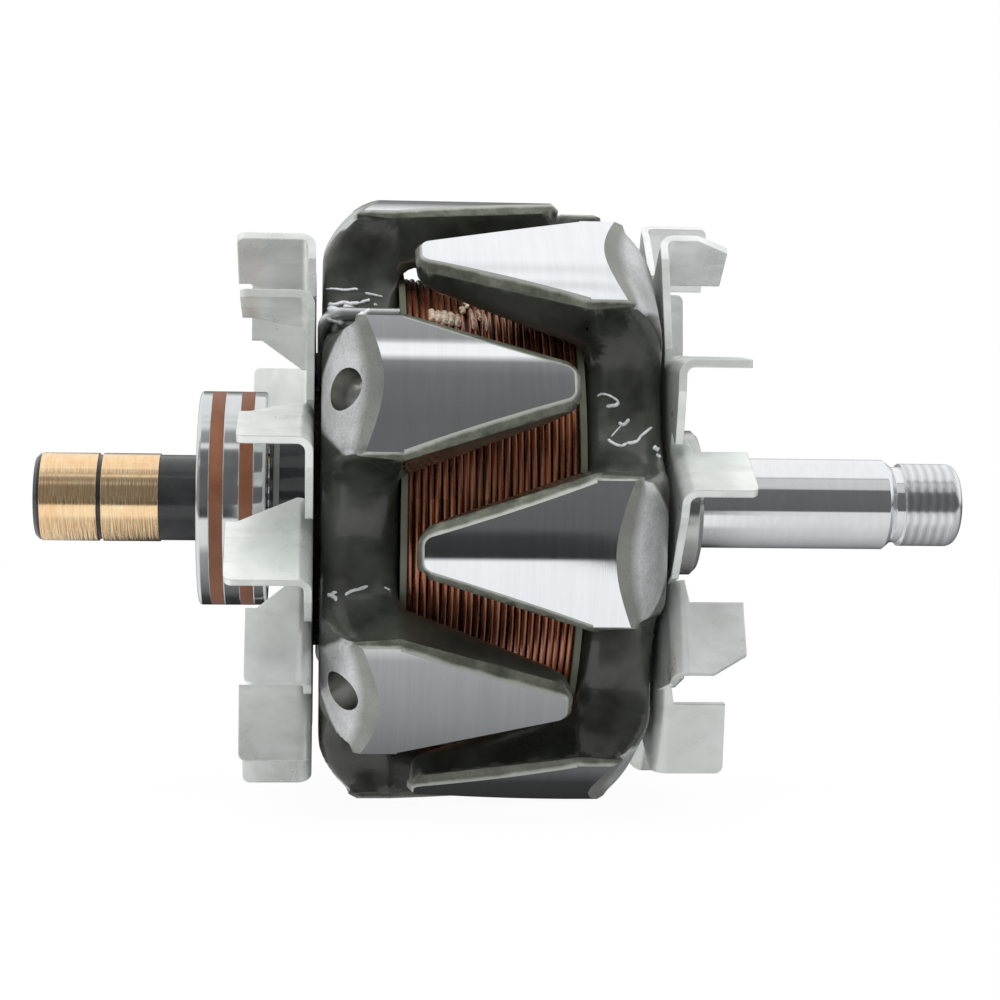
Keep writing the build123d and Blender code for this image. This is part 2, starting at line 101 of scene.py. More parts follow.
# Drips of silvery varnish: half width, then rough distance from the shaft axis at start and end, all in mm,
# then the pixels of the photograph that the drip runs through.
FRONT_DRIPS = (
    (0.20, 36.1, 35.9, (597, 396), (602, 394), (608, 395), (614, 398), (619, 402)),
    (0.31, 35.9, 35.7, (619, 402), (616, 405), (610, 406), (606, 407)),
    (0.31, 35.5, 35.6, (629, 419), (626, 423), (622, 425), (619, 422)),
    (0.13, 35.6, 36.0, (622, 425), (617, 430), (611, 437)),
    (0.27, 36.1, 36.5, (608, 439), (611, 442), (617, 445), (622, 446), (627, 443)),
    (0.33, 36.4, 36.3, (627, 443), (632, 443), (638, 441)),
    (0.23, 36.3, 35.5, (638, 441), (641, 436), (646, 432), (652, 427)),
    (0.46, 36.6, 36.6, (653, 447), (656, 449), (659, 451)),
    (0.34, 37.3, 37.3, (656, 455), (658, 456), (660, 458)),
)
REAR_DRIPS = (
    (0.26, 37.4, 37.7, (326, 289), (335, 289), (345, 290), (355, 289), (358, 290)),
    (0.26, 37.4, 36.9, (365, 293), (374, 295), (383, 297)),
    (0.44, 36.0, 36.4, (328, 304), (334, 305), (343, 303), (351, 304), (360, 303)),
    (0.34, 36.4, 36.7, (360, 303), (366, 301), (370, 300)),
    (0.72, 37.4, 37.2, (328, 308), (336, 311), (344, 311), (351, 315)),
    (0.59, 37.2, 37.2, (343, 307), (350, 308), (355, 312)),
    (0.52, 36.6, 35.9, (327, 318), (335, 321), (344, 323)),
    (0.55, 37.7, 37.4, (370, 310), (365, 313), (357, 318)),
    (0.33, 36.4, 36.4, (374, 304), (377, 306)),
    (0.29, 39.2, 38.1, (345, 595), (352, 591), (360, 589), (368, 586)),
    (0.42, 38.8, 39.8, (327, 595), (332, 596), (337, 600)),
    (0.33, 39.0, 38.8, (331, 594), (337, 592)),
    (0.16, 38.1, 38.2, (384, 587), (390, 590)),
)
DRIP_REACH = 0.8 * MM
DRIP_SIDES = 8
DRIP_STEPS = 6

# Pools of varnish between turns of the coil, coloured pale cream as a painted reflection of the bright room:
# half width in mm, then (along X, radius, angle in degrees).
COIL_DRIPS = (
    (0.60, (-9.0, 36.3, 125.5), (-8.9, 36.3, 128.0), (-9.0, 36.3, 130.6)),
    (0.60, (-8.0, 36.3, 125.9), (-7.9, 36.3, 128.5), (-8.0, 36.3, 131.0)),
    (0.60, (-7.0, 36.3, 126.0), (-7.0, 36.3, 128.5), (-6.9, 36.3, 131.6)),
    (0.60, (-6.0, 36.3, 126.4), (-6.1, 36.3, 129.5), (-6.0, 36.3, 132.0)),
    (0.60, (-5.1, 36.3, 127.4), (-5.0, 36.3, 130.0), (-5.0, 36.3, 132.6)),
    (0.44, (-4.6, 36.3, 124.4), (-4.0, 36.3, 124.9), (-4.2, 36.3, 127.0)),
    (0.36, (-3.8, 36.5, 122.0), (-3.3, 36.5, 123.0), (-3.5, 36.4, 124.6)),
    (0.34, (-2.9, 36.3, 124.6), (-2.7, 36.3, 128.5), (-2.6, 36.3, 133.4)),
    (0.34, (-1.8, 36.3, 125.0), (-1.5, 36.3, 127.5), (-1.5, 36.3, 130.0)),
    (0.28, (-0.8, 36.3, 126.5), (-0.6, 36.3, 130.0), (-0.6, 36.3, 134.0)),
)

# Camera, from the vanishing lines and circles of the photograph.
CAMERA_PLACE = Vector((-25.469, -373.710, -1.633)) * MM
CAMERA_YAW = -0.077870
CAMERA_PITCH = 0.004699
CAMERA_ROLL = -0.009642
FOCAL_PIXELS = 2261.903
IMAGE_PIXELS = 1000
SENSOR = 36.0
CAMERA_TURN = (
    Matrix.Rotation(CAMERA_YAW, 4, "Z")
    @ Matrix.Rotation(CAMERA_PITCH, 4, "X")
    @ Matrix.Rotation(CAMERA_ROLL, 4, "Y")
    @ Matrix.Rotation(radians(90), 4, "X")
)


def put_camera():
    data = bpy.data.cameras.new("camera")
    data.sensor_width = SENSOR
    data.lens = FOCAL_PIXELS / IMAGE_PIXELS * SENSOR
    data.clip_start = 0.01
    data.clip_end = 50
    camera = bpy.data.objects.new("camera", data)
    bpy.context.scene.collection.objects.link(camera)
    camera.matrix_world = Matrix.Translation(CAMERA_PLACE) @ CAMERA_TURN
    bpy.context.scene.camera = camera


def seen_way(column, row):
    """Direction from the camera through a pixel of the photograph."""
    middle = IMAGE_PIXELS / 2
    way = Vector(((column - middle) / FOCAL_PIXELS, (middle - row) / FOCAL_PIXELS, -1))
    return (CAMERA_TURN.to_3x3() @ way).normalized()


def at_radius(way, radius):
    """Where a ray from the camera first comes to that distance from the shaft axis."""
    place, flat = CAMERA_PLACE.yz, way.yz
    closing = place.dot(flat)
    spare = closing**2 - flat.dot(flat) * (place.dot(place) - radius**2)
    return CAMERA_PLACE + way * (-closing - sqrt(spare)) / flat.dot(flat)


# Shader building


class Tree:
    """A node tree with short calls to add and join nodes."""

    def __init__(self, tree):
        self.tree = tree

    def add(self, kind, *inputs, **settings):
        """Add a node; inputs are values, sockets or None, in the order of its sockets."""
        node = self.tree.nodes.new("ShaderNode" + kind)
        for key, value in settings.items():
            if key in node.inputs:
                self.feed(node.inputs[key], value)
            else:
                setattr(node, key, value)
        for socket, value in zip(node.inputs, inputs):
            if value is not None:
                self.feed(socket, value)
        return node

    def feed(self, socket, value):
        if isinstance(value, bpy.types.NodeSocket):
            self.tree.links.new(value, socket)
        else:
            socket.default_value = value

    def math(self, operation, *values):
        return self.add("Math", *values, operation=operation).outputs[0]

    def span(self, value, low, high, new_low=0.0, new_high=1.0):
        return self.add("MapRange", value, low, high, new_low, new_high).outputs[0]

    def ramp(self, value, *stops):
        """Colour ramp from (position, colour) stops; a colour may be one grey value."""
        node = self.add("ValToRGB", value)
        elements = node.color_ramp.elements
        first, *between, last = stops
        for element, (position, colour) in ((elements[0], first), (elements[1], last)):
            element.position = position
            element.color = (*paint(colour), 1)
        for position, colour in between:
            elements.new(position).color = (*paint(colour), 1)
        return node.outputs["Color"]

    def mix(self, share, first, second, blend="MIX"):
        colours = [
            value if isinstance(value, bpy.types.NodeSocket) else (*paint(value), 1)
            for value in (first, second)
        ]
        return self.add("MixRGB", share, *colours, blend_type=blend).outputs[0]


class Shader(Tree):
    """A material with one principled shader."""

    def __init__(self, name, **sockets):
        self.material = bpy.data.materials.new(name)
        self.material.use_nodes = True
        super().__init__(self.material.node_tree)
        self.surface = self.tree.nodes["Principled BSDF"]
        for socket, value in sockets.items():
            self.surface.inputs[socket.replace("_", " ")].default_value = value

    def put(self, **sockets):
        for socket, value in sockets.items():
            self.feed(self.surface.inputs[socket.replace("_", " ")], value)

    def place(self, stretch=(1, 1, 1)):
        """Object coordinates, stretched per axis."""
        spot = self.add("TexCoord").outputs["Object"]
        return self.add("Mapping", spot, Scale=stretch).outputs[0]

    def around(self, stretch):
        """Coordinates that follow the shaft: along X, round it and out from it, stretched per axis."""
        spot = self.add("TexCoord").outputs["Object"]
        parts = self.add("SeparateXYZ", spot).outputs
        angle = self.math("ARCTAN2", parts[2], parts[1])
        out = self.radius()
        arc = self.math("MULTIPLY", angle, CLAW_RADIUS)
        joined = self.add("CombineXYZ", parts[0], arc, out).outputs[0]
        return self.add("Mapping", joined, Scale=stretch).outputs[0]

    def along(self):
        """Distance along the shaft."""
        return self.add("SeparateXYZ", self.add("TexCoord").outputs["Object"]).outputs[0]

    def radius(self):
        """Distance from the shaft axis."""
        spot = self.add("TexCoord").outputs["Object"]
        flat = self.add("VectorMath", spot, (0, 1, 1), operation="MULTIPLY").outputs[0]
        return self.add("VectorMath", flat, operation="LENGTH").outputs["Value"]

    def noise(self, scale, detail=3.0, roughness=0.55, place=None, warp=0.0):
        """Noise with that many lumps a metre."""
        place = self.place() if place is None else place
        return self.add(
            "TexNoise", place, Scale=scale, Detail=detail, Roughness=roughness, Distortion=warp
        ).outputs["Fac"]

    def bump(self, height, distance, strength=1.0, normal=None):
        node = self.add("Bump", Strength=strength, Distance=distance, Height=height)
        if normal is not None:
            self.feed(node.inputs["Normal"], normal)
        return node.outputs[0]

    def radial_normal(self):
        """Normal that points straight out from the shaft axis."""
        spot = self.add("TexCoord").outputs["Object"]
        flat = self.add("VectorMath", spot, (0, 1, 1), operation="MULTIPLY").outputs[0]
        return self.add(
            "VectorTransform", flat, vector_type="NORMAL", convert_from="OBJECT", convert_to="WORLD"
        ).outputs[0]

    def rounded(self, radius):
        """Normal with the edges rounded off."""
        return self.add("Bevel", radius, samples=6).outputs[0]


def paint(colour):
    return colour[:3] if hasattr(colour, "__len__") else (colour, colour, colour)


# Materials


def turned_steel(name, tone, roughness, brushed=0.75, edge=0.25 * MM, thread=False):
    """Steel turned in a lathe: fine marks that run round the shaft, and a thread on the shaft's end."""
    blotch = 0.08
    shader = Shader(name, Metallic=1.0)
    fine = shader.noise(1, 2.0, 0.6, shader.around((9000, 60, 60)))
    streak = shader.noise(1, 3.0, 0.6, shader.around((900, 45, 45)))
    cloud = shader.noise(90, 4.0, 0.6)
    value = shader.math("MULTIPLY_ADD", shader.math("SUBTRACT", streak, 0.5), blotch * 2, 1.0)
    value = shader.math("MULTIPLY_ADD", shader.math("SUBTRACT", cloud, 0.5), blotch, value)
    value = shader.math("MULTIPLY_ADD", shader.math("SUBTRACT", fine, 0.5), blotch, value)
    roughness = shader.math("MULTIPLY_ADD", shader.math("SUBTRACT", streak, 0.5), 0.04, roughness)
    normal = shader.rounded(edge) if edge else shader.radial_normal()
    if thread:
        along = shader.along()
        begun = shader.span(along, THREAD_START - 0.3 * MM, THREAD_START)
        on_thread = shader.math("MULTIPLY", begun, shader.span(along, THREAD_END, THREAD_END - 0.3 * MM))
        ridges = shader.math("PINGPONG", along, THREAD_PITCH / 2)
        ridges = shader.math("MULTIPLY", shader.math("DIVIDE", ridges, THREAD_PITCH / 2), on_thread)
        normal = shader.bump(ridges, THREAD_DEPTH, 0.35, normal)
        roughness = shader.math("MULTIPLY_ADD", on_thread, 0.14, roughness)
        # Painted shade: the thread is painted darker towards its crests, in step with its relief.
        value = shader.math("MULTIPLY_ADD", ridges, -0.3, value)
    shader.put(
        Base_Color=shader.mix(1.0, tone, value, "MULTIPLY"),
        Roughness=roughness,
        Anisotropic=brushed,
        Anisotropic_Rotation=0.25,
        Tangent=shader.add("Tangent", direction_type="RADIAL", axis="X").outputs[0],
        Normal=shader.bump(fine, 0.003 * MM, 0.3, normal),
    )
    return shader.material


def varnished_forging(name):
    """Forged steel under dark green-black varnish, with a painted highlight, lighter and more metallic, on
    its bulging edges, where the varnish is also rubbed thin.
    """
    shader = Shader(name)
    lumps = shader.noise(160, 5.0, 0.6)
    grain = shader.noise(1500, 3.0, 0.6)
    stain = shader.noise(55, 4.0, 0.65)
    edge = shader.add("Attribute", attribute_name="convex").outputs["Fac"]
    # Painted highlight: bulging edges are made lighter and more metallic in the base colour.
    edge_highlight_and_wear = shader.span(shader.math("MULTIPLY_ADD", grain, 0.35, edge), 0.6, 1.1)
    dark = shader.mix(shader.span(stain, 0.42, 0.62), (0.014, 0.016, 0.011), (0.052, 0.056, 0.045))
    shader.put(
        Base_Color=shader.mix(edge_highlight_and_wear, dark, (0.30, 0.31, 0.25)),
        Metallic=shader.span(edge_highlight_and_wear, 0, 1, 0.0, 0.35),
        Roughness=shader.span(stain, 0.3, 0.7, 0.24, 0.42),
        Coat_Weight=0.6,
        Coat_Roughness=0.12,
        Normal=shader.bump(lumps, 0.25 * MM, 0.6, shader.bump(grain, 0.03 * MM, 0.5)),
    )
    return shader.material


def rubbed_bevel(name):
    """Edge of a forging where the varnish is thin: light olive-grey."""
    shader = Shader(name, Metallic=0.35)
    lumps = shader.noise(260, 4.0, 0.6)
    grain = shader.noise(1800, 3.0, 0.6)
    tone = shader.ramp(
        lumps, (0.3, (0.07, 0.075, 0.055)), (0.5, (0.13, 0.14, 0.105)), (0.72, (0.22, 0.23, 0.18))
    )
    tone = shader.mix(shader.span(grain, 0.35, 0.75, 0, 0.45), tone, 0.05)
    height = shader.math("MULTIPLY_ADD", lumps, 0.5 * MM, shader.radius())
    rim = shader.span(height, CLAW_RADIUS - 0.25 * MM, CLAW_RADIUS + 0.05 * MM, 0, 0.85)
    shader.put(
        Base_Color=shader.mix(rim, tone, (0.50, 0.52, 0.47)),
        Roughness=0.38,
        Coat_Weight=0.3,
        Coat_Roughness=0.2,
        Normal=shader.bump(grain, 0.05 * MM, 0.7),
    )
    return shader.material


def bare_forging(name):
    """Shoulder of a claw: bare grey scale, sparkling, with a band of painted shade beside the turned face.
    """
    shader = Shader(name)
    cloud = shader.noise(120, 4.0, 0.6)
    grain = shader.noise(2600, 2.0, 0.7)
    painted_shade_band = shader.add(
        "MapRange", shader.radius(), CLAW_RADIUS - 1.9 * MM, CLAW_RADIUS - 0.9 * MM, 0.0, 0.7
    ).outputs[0]
    light = shader.mix(shader.span(cloud, 0.35, 0.65), (0.42, 0.43, 0.43), (0.66, 0.67, 0.68))
    light = shader.mix(shader.span(grain, 0.55, 0.8, 0, 0.5), light, 0.85)
    light = shader.mix(shader.span(grain, 0.45, 0.2, 0, 0.6), light, 0.12)
    # Painted shade: a dark band beside the turned face, standing for a narrow facet that turns away from the
    # light.
    light = shader.mix(painted_shade_band, light, (0.15, 0.155, 0.12))
    across = shader.add("Attribute", attribute_name="across").outputs["Fac"]
    depth = shader.math("ABSOLUTE", shader.along())
    bow = shader.math("MULTIPLY", shader.math("POWER", across, 2.0), GROUND_BOW / CLAW_HALF_WIDTH**2)
    ground_end = shader.math("SUBTRACT", GROUND_END, bow)
    past = shader.math("SUBTRACT", depth, ground_end)
    past = shader.math("MULTIPLY_ADD", shader.math("SUBTRACT", cloud, 0.5), 1.2 * MM, past)
    varnished = shader.span(past, -0.2 * MM, 0.3 * MM)
    shader.put(
        Base_Color=shader.mix(varnished, light, (0.022, 0.024, 0.018)),
        Metallic=shader.span(varnished, 0, 1, 0.7, 0.0),
        Coat_Weight=shader.span(varnished, 0, 1, 0.0, 0.6),
        Coat_Roughness=0.12,
        Roughness=shader.span(grain, 0.2, 0.8, 0.32, 0.5),
        Normal=shader.bump(grain, 0.05 * MM, 0.8, shader.bump(cloud, 0.2 * MM, 0.4)),
    )
    return shader.material


def enamelled_wire(name):
    """Copper wire under brown enamel and varnish: every turn has a tone of its own."""
    shader = Shader(name)
    turns_per_metre = COIL_TURNS / (2 * COIL_HALF_LENGTH)
    turn = shader.math("FLOOR", shader.math("MULTIPLY_ADD", shader.along(), turns_per_metre, 100.0))
    tone = shader.add("TexWhiteNoise", turn, noise_dimensions="1D").outputs["Value"]
    lengthwise = shader.noise(1, 3.0, 0.6, shader.around((700, 90, 90)))
    mixed = shader.math("MULTIPLY_ADD", shader.math("SUBTRACT", lengthwise, 0.5), 1.1, tone)
    colour = shader.ramp(
        mixed,
        (0.05, (0.05, 0.017, 0.010)),
        (0.35, (0.24, 0.075, 0.035)),
        (0.7, (0.52, 0.20, 0.10)),
        (0.95, (0.78, 0.46, 0.30)),
    )
    shader.put(
        Base_Color=colour,
        Metallic=0.85,
        Roughness=shader.span(lengthwise, 0.3, 0.7, 0.2, 0.4),
        Coat_Weight=0.8,
        Coat_Roughness=0.15,
        Normal=shader.bump(lengthwise, 0.08 * MM, 0.5),
    )
    return shader.material


def slip_ring_copper(name):
    """Copper track of a slip ring, tarnished in rings by the brush."""
    shader = Shader(name, Metallic=1.0)
    groove = shader.noise(1, 3.0, 0.6, shader.around((2600, 22, 22)))
    tarnish = shader.noise(1, 4.0, 0.6, shader.around((500, 60, 60)))
    colour = shader.mix(shader.span(tarnish, 0.35, 0.7), (1.0, 0.76, 0.47), (0.94, 0.62, 0.34))
    colour = shader.mix(shader.span(groove, 0.5, 0.75, 0, 0.4), colour, (0.70, 0.42, 0.22))
    shader.put(
        Base_Color=colour,
        Roughness=shader.span(groove, 0.3, 0.7, 0.1, 0.2),
        Anisotropic=0.6,
        Anisotropic_Rotation=0.25,
        Tangent=shader.add("Tangent", direction_type="RADIAL", axis="X").outputs[0],
        Normal=shader.bump(groove, 0.05 * MM, 0.5, shader.rounded(0.2 * MM)),
    )
    return shader.material


def zinc_sheet(name):
    """Zinc-plated sheet, cloudy, with a faint green and blue cast and handling marks."""
    shader = Shader(name, Metallic=0.5)
    cloud = shader.noise(70, 4.0, 0.6, warp=0.3)
    tint = shader.noise(38, 3.0, 0.5)
    grain = shader.noise(1300, 3.0, 0.65)
    scuff = shader.noise(1, 5.0, 0.6, shader.place((80, 240, 240)))
    colour = shader.mix(shader.span(cloud, 0.35, 0.65), (0.72, 0.75, 0.73), (0.97, 0.99, 0.98))
    colour = shader.mix(shader.span(tint, 0.45, 0.65, 0, 0.5), colour, (0.74, 0.83, 0.75))
    colour = shader.mix(shader.span(scuff, 0.50, 0.80, 0, 0.4), colour, (0.42, 0.43, 0.41))
    waves = shader.bump(cloud, 0.25 * MM, 0.5, shader.rounded(0.3 * MM))
    shader.put(
        Base_Color=colour,
        Roughness=shader.span(cloud, 0.3, 0.7, 0.24, 0.38),
        Normal=shader.bump(grain, 0.02 * MM, 0.4, waves),
    )
    return shader.material


def moulded(name, colour, roughness, gloss=0.0, grain_depth=0.02, edge=0.2 * MM):
    """Moulded plastic or rubber with a fine grain and faint dust."""
    shader = Shader(name)
    cloud = shader.noise(180, 4.0, 0.6)
    grain = shader.noise(2200, 3.0, 0.6)
    pale = tuple(min(1, 1.6 * part + 0.03) for part in colour)
    shader.put(
        Base_Color=shader.mix(shader.span(cloud, 0.35, 0.75, 0, 0.6), colour, pale),
        Roughness=shader.span(cloud, 0.3, 0.7, roughness * 0.8, roughness * 1.2),
        Coat_Weight=gloss,
        Coat_Roughness=0.08,
        Normal=shader.bump(grain, grain_depth * MM, 0.6, shader.rounded(edge)),
    )
    return shader.material


def pooled_varnish(name, dull, bright, lumps):
    """Drips of varnish that catch the light, with dust in them."""
    shader = Shader(name, Metallic=0.3)
    cloud = shader.noise(500, 4.0, 0.7)
    shader.put(
        Base_Color=shader.mix(shader.span(cloud, 0.3, 0.55), dull, bright),
        Roughness=0.25,
        Coat_Weight=0.5,
        Normal=shader.bump(cloud, lumps * MM, 0.8),
    )
    return shader.material


# Mesh building


def new_piece(name, mesh, materials, stands_for=()):
    """Put a mesh on the rotor, in place of the CAD nodes that it stands for."""
    piece = bpy.data.objects.new(name, mesh)
    bpy.context.scene.collection.objects.link(piece)
    for material in materials:
        mesh.materials.append(material)
    if stands_for:
        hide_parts(*stands_for)
    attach(piece, "rotor")
    return piece


def split_long_edges(bm):
    """Halve the longest edge of every triangle that has one over the limit, some rounds over."""
    for _ in range(SPLITTING_ROUNDS):
        chosen = set()
        for face in bm.faces:
            edge = max(face.edges, key=lambda side: side.calc_length())
            if edge.calc_length() > LONGEST_EDGE:
                chosen.add(edge)
        if not chosen:
            return
        bmesh.ops.subdivide_edges(bm, edges=list(chosen), cuts=1)
        bmesh.ops.triangulate(bm, faces=[face for face in bm.faces if len(face.verts) > 3])


def radius_of(point):
    return hypot(point.y, point.z)


def angle_of(point):
    return atan2(point.z, point.y)


def nearest_step(angle, first, step):
    """Difference from the nearest of a row of evenly spaced angles."""
    turns = round((angle - first) / step)
    return angle - first - turns * step


def drill_offset(point, angle):
    """Distance of a point from the axis of the balance drilling at that angle."""
    out = Vector((0, cos(angle), sin(angle)))
    along = Vector((SHOULDER_FOOT - CLAW_RADIUS, 0, 0)) + out * (POLE_FACE - SHOULDER_START)
    along.normalize()
    middle = Vector((-(POLE_FACE + SHOULDER_START) / 2, 0, 0)) + out * (CLAW_RADIUS + SHOULDER_FOOT) / 2
    away = point - middle
    return (away - along * away.dot(along)).length if away.dot(along) > -DRILL_DEPTH * 2 else 1.0


TURNED, BEVELLED, SHOULDER, CAST, DRILLED = range(5)
SMOOTHING = {TURNED: 0.0, BEVELLED: 0.0, SHOULDER: 0.5, CAST: 0.6, DRILLED: 0.0}


def core_face_kind(face, side):
    """Which part of the forging a face belongs to."""
    centre = face.calc_center_median()
    radii = [radius_of(vertex.co) for vertex in face.verts]
    outward = Vector((0, centre.y, centre.z)).normalized()
    lean = face.normal.dot(outward)
    depth = side * centre.x
    if min(radii) > CLAW_RADIUS - 0.05 * MM and lean > 0.98:
        return TURNED
    off = nearest_step(angle_of(centre), FIRST_CLAW[side], CLAW_STEP)
    if near_drilling(centre, side, DRILL_RADIUS * 1.01):
        return DRILLED
    leaning_out = side * face.normal.x
    if depth > SHOULDER_START - 0.2 * MM and leaning_out > 0.15 and lean > 0.15 and abs(off) < radians(16):
        return SHOULDER
    if max(radii) > CLAW_RADIUS - 0.6 * MM and 0.4 < lean < 0.95:
        return BEVELLED
    return CAST


def neighbour_mean(points, edges, weights, count):
    """Weighted mean of every vertex's neighbours."""
    total = numpy.zeros_like(points)
    numpy.add.at(total, edges[:, 0], points[edges[:, 1]] * weights[:, None])
    numpy.add.at(total, edges[:, 1], points[edges[:, 0]] * weights[:, None])
    return total / count[:, None]


def near_drilling(point, side, distance):
    return side == -1 and min(drill_offset(point, angle) for angle in DRILL_ANGLES) < distance


def freedom(vertex, side):
    """Share of the way to its neighbours' mean that a vertex may go: none where the steel is machined."""
    if radius_of(vertex.co) < FAN_SEAT_RADIUS + 1.5 * MM:
        return 0
    if near_drilling(vertex.co, side, DRILL_RADIUS + 1.3 * MM):
        return 0
    return min(SMOOTHING[face.material_index] for face in vertex.link_faces)


def refined_core(name, side):
    """Mesh of a pole core in small triangles, its faces sorted by kind, with every vertex's freedom."""
    bm = bmesh.new()
    bm.from_mesh(nodes[name].data)
    bmesh.ops.remove_doubles(bm, verts=bm.verts, dist=0.001 * MM)
    for face in bm.faces:
        face.material_index = core_face_kind(face, side)
    split_long_edges(bm)
    cast = [vertex for vertex in bm.verts if all(face.material_index == CAST for face in vertex.link_faces)]
    bmesh.ops.remove_doubles(bm, verts=cast, dist=CLOSEST_POINTS)
    bmesh.ops.dissolve_degenerate(bm, dist=0.01 * MM, edges=bm.edges)
    for face in bm.faces:
        face.smooth = True
    for vertex in bm.verts:
        if any(face.material_index == TURNED for face in vertex.link_faces):
            scale = CLAW_RADIUS / radius_of(vertex.co)
            vertex.co = Vector((vertex.co.x, vertex.co.y * scale, vertex.co.z * scale))
    for edge in bm.edges:
        kinds = {face.material_index for face in edge.link_faces}
        edge.smooth = len(kinds) < 2 or not kinds & {TURNED, DRILLED}
    keep = numpy.array([freedom(vertex, side) for vertex in bm.verts])
    mesh = bpy.data.meshes.new(name + "_forged")
    bm.to_mesh(mesh)
    bm.free()
    return mesh, keep


def forge(name, side):
    """Copy of a pole core with its forged edges rounded and its turned faces left true."""
    mesh, keep = refined_core(name, side)
    points = numpy.zeros(len(mesh.vertices) * 3)
    mesh.vertices.foreach_get("co", points)
    points = points.reshape(-1, 3)
    edges = numpy.zeros(len(mesh.edges) * 2, dtype=int)
    mesh.edges.foreach_get("vertices", edges)
    edges = edges.reshape(-1, 2)
    lengths = numpy.linalg.norm(points[edges[:, 0]] - points[edges[:, 1]], axis=1)
    weights = 1 / numpy.maximum(lengths, 0.05 * MM)
    count = numpy.bincount(edges.ravel(), numpy.repeat(weights, 2), len(points))
    spacing = numpy.bincount(edges.ravel(), numpy.ones(edges.size), len(points)) / count
    pace = (keep * numpy.minimum(1, (ROUNDING_STEP / spacing) ** 2))[:, None]
    for _ in range(ROUNDING_PASSES):
        points += (neighbour_mean(points, edges, weights, count) - points) * pace
    mesh.vertices.foreach_set("co", points.ravel())
    mesh.update()

    # Where the surface bulges, a lighter edge highlight is painted, and the varnish is rubbed thin.
    normals = numpy.zeros(len(points) * 3)
    mesh.vertex_normals.foreach_get("vector", normals)
    pull = points - neighbour_mean(points, edges, weights, count)
    curve = (pull * normals.reshape(-1, 3)).sum(axis=1)[:, None] / spacing[:, None]
    for _ in range(EDGE_HIGHLIGHT_PASSES):
        curve = 0.5 * curve + 0.5 * neighbour_mean(curve, edges, weights, count)
    convex = numpy.clip(curve[:, 0] / EDGE_HIGHLIGHT_BULGE, 0, 1)
    mesh.attributes.new("convex", "FLOAT", "POINT").data.foreach_set("value", convex)

    # Distance from the middle line of the nearest claw
    angles = numpy.arctan2(points[:, 2], points[:, 1]) - FIRST_CLAW[side]
    off = numpy.mod(angles + CLAW_STEP / 2, CLAW_STEP) - CLAW_STEP / 2
    across = numpy.abs(numpy.hypot(points[:, 1], points[:, 2]) * numpy.sin(off))
    mesh.attributes.new("across", "FLOAT", "POINT").data.foreach_set("value", across)
    return mesh


def wind_coil(seed, sides, steps, wander):
    """Rings of wire side by side, each with a wander of its own."""
    rng = random.Random(seed)
    bm = bmesh.new()
    pitch = 2 * COIL_HALF_LENGTH / COIL_TURNS
    for turn in range(COIL_TURNS):
        middle = -COIL_HALF_LENGTH + pitch * (turn + 0.5)
        phases = [rng.uniform(0, 2 * pi) for _ in range(4)]
        sink = rng.uniform(0, wander * 1.5)
        thick = WIRE_RADIUS * rng.uniform(0.93, 1.0)
        rings = []
        for step in range(steps):
            angle = 2 * pi * step / steps
            sway = sin(3 * angle + phases[0]) + 0.7 * sin(7 * angle + phases[1])
            lift = sin(2 * angle + phases[2]) + 0.6 * sin(5 * angle + phases[3])
            x = middle + wander * 0.35 * sway
            out = COIL_RADIUS - WIRE_RADIUS - sink + wander * 0.25 * (lift - 1.6)
            ring = []
            for corner in range(sides):
                turn_angle = 2 * pi * corner / sides
                far = out + thick * cos(turn_angle)
                place = (x + thick * sin(turn_angle), far * cos(angle), far * sin(angle))
                ring.append(bm.verts.new(place))
            rings.append(ring)
        for first, second in zip(rings, rings[1:] + rings[:1]):
            for corner in range(sides):
                after = (corner + 1) % sides
                face = bm.faces.new((first[corner], first[after], second[after], second[corner]))
                face.smooth = True
    bmesh.ops.recalc_face_normals(bm, faces=bm.faces)
    mesh = bpy.data.meshes.new("winding")
    bm.to_mesh(mesh)
    bm.free()
    return mesh


def seen_drips(rows, mesh):
    """Half width and points of every drip: on the core, or at its rough radius where the core isn't near."""
    surface = BVHTree.FromPolygons(
        [vertex.co for vertex in mesh.vertices], [face.vertices for face in mesh.polygons]
    )
    drips = []
    for half_width, start_radius, end_radius, *pixels in rows:
        points = []
        for place, (column, row) in enumerate(pixels):
            share = place / (len(pixels) - 1)
            radius = (start_radius + (end_radius - start_radius) * share) * MM
            way = seen_way(column, row)
            spot = surface.ray_cast(CAMERA_PLACE, way)[0]
            if spot is None or abs(radius_of(spot) - radius) > DRIP_REACH:
                spot = at_radius(way, radius)
            points.append(spot)
        drips.append((half_width, points))
    return drips


def pools_on_coil():
    """Half width and points of every pool of varnish on the coil."""
    pools = []
    for half_width, *marks in COIL_DRIPS:
        turned = [(along, radius, radians(angle)) for along, radius, angle in marks]
        points = [Vector((along, out * cos(angle), out * sin(angle))) * MM for along, out, angle in turned]
        pools.append((half_width, points))
    return pools


